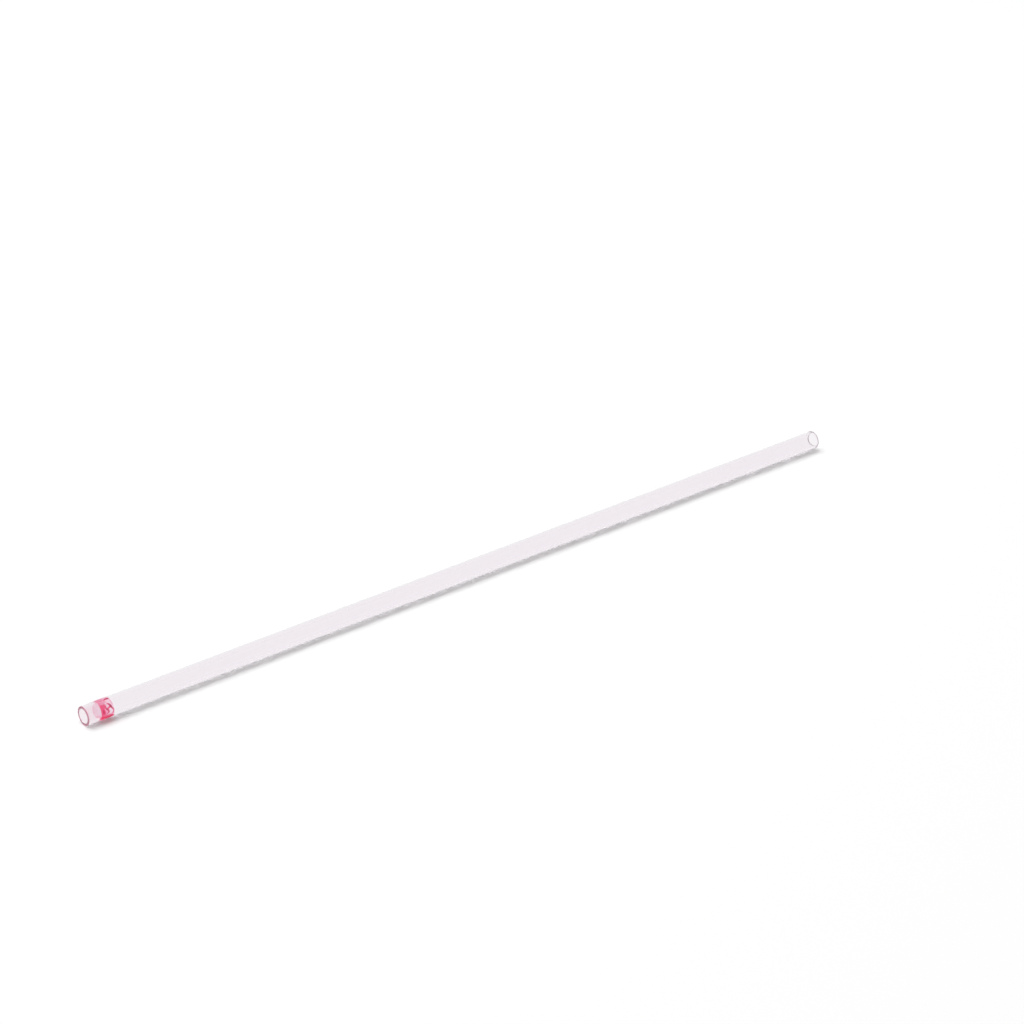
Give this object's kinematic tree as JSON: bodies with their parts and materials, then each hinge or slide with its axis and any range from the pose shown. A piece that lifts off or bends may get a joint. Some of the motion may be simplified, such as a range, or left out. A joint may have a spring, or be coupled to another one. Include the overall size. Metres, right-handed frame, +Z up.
{
  "type": "glass capillary tube",
  "caption": "Straight thin-walled clear glass capillary tube, open at both ends, with a red lacquer ring near one end.",
  "frame": {"origin": "on the tube's axis, at the middle of its length", "axes": "+X along the tube, away from the end with the colour ring; +Z up, with the tube lying level"},
  "size_m": [0.075, 0.0016, 0.0016],
  "materials": {
    "glass": "clear thin glass with a faint lilac cast and fire-polished rims",
    "ring_lacquer": "translucent rose-red lacquer, uneven, with thin pale patches"
  },
  "bodies": {
    "root": {"glass_tube": "glass", "colour_ring": "ring_lacquer"}
  },
  "joints": []
}
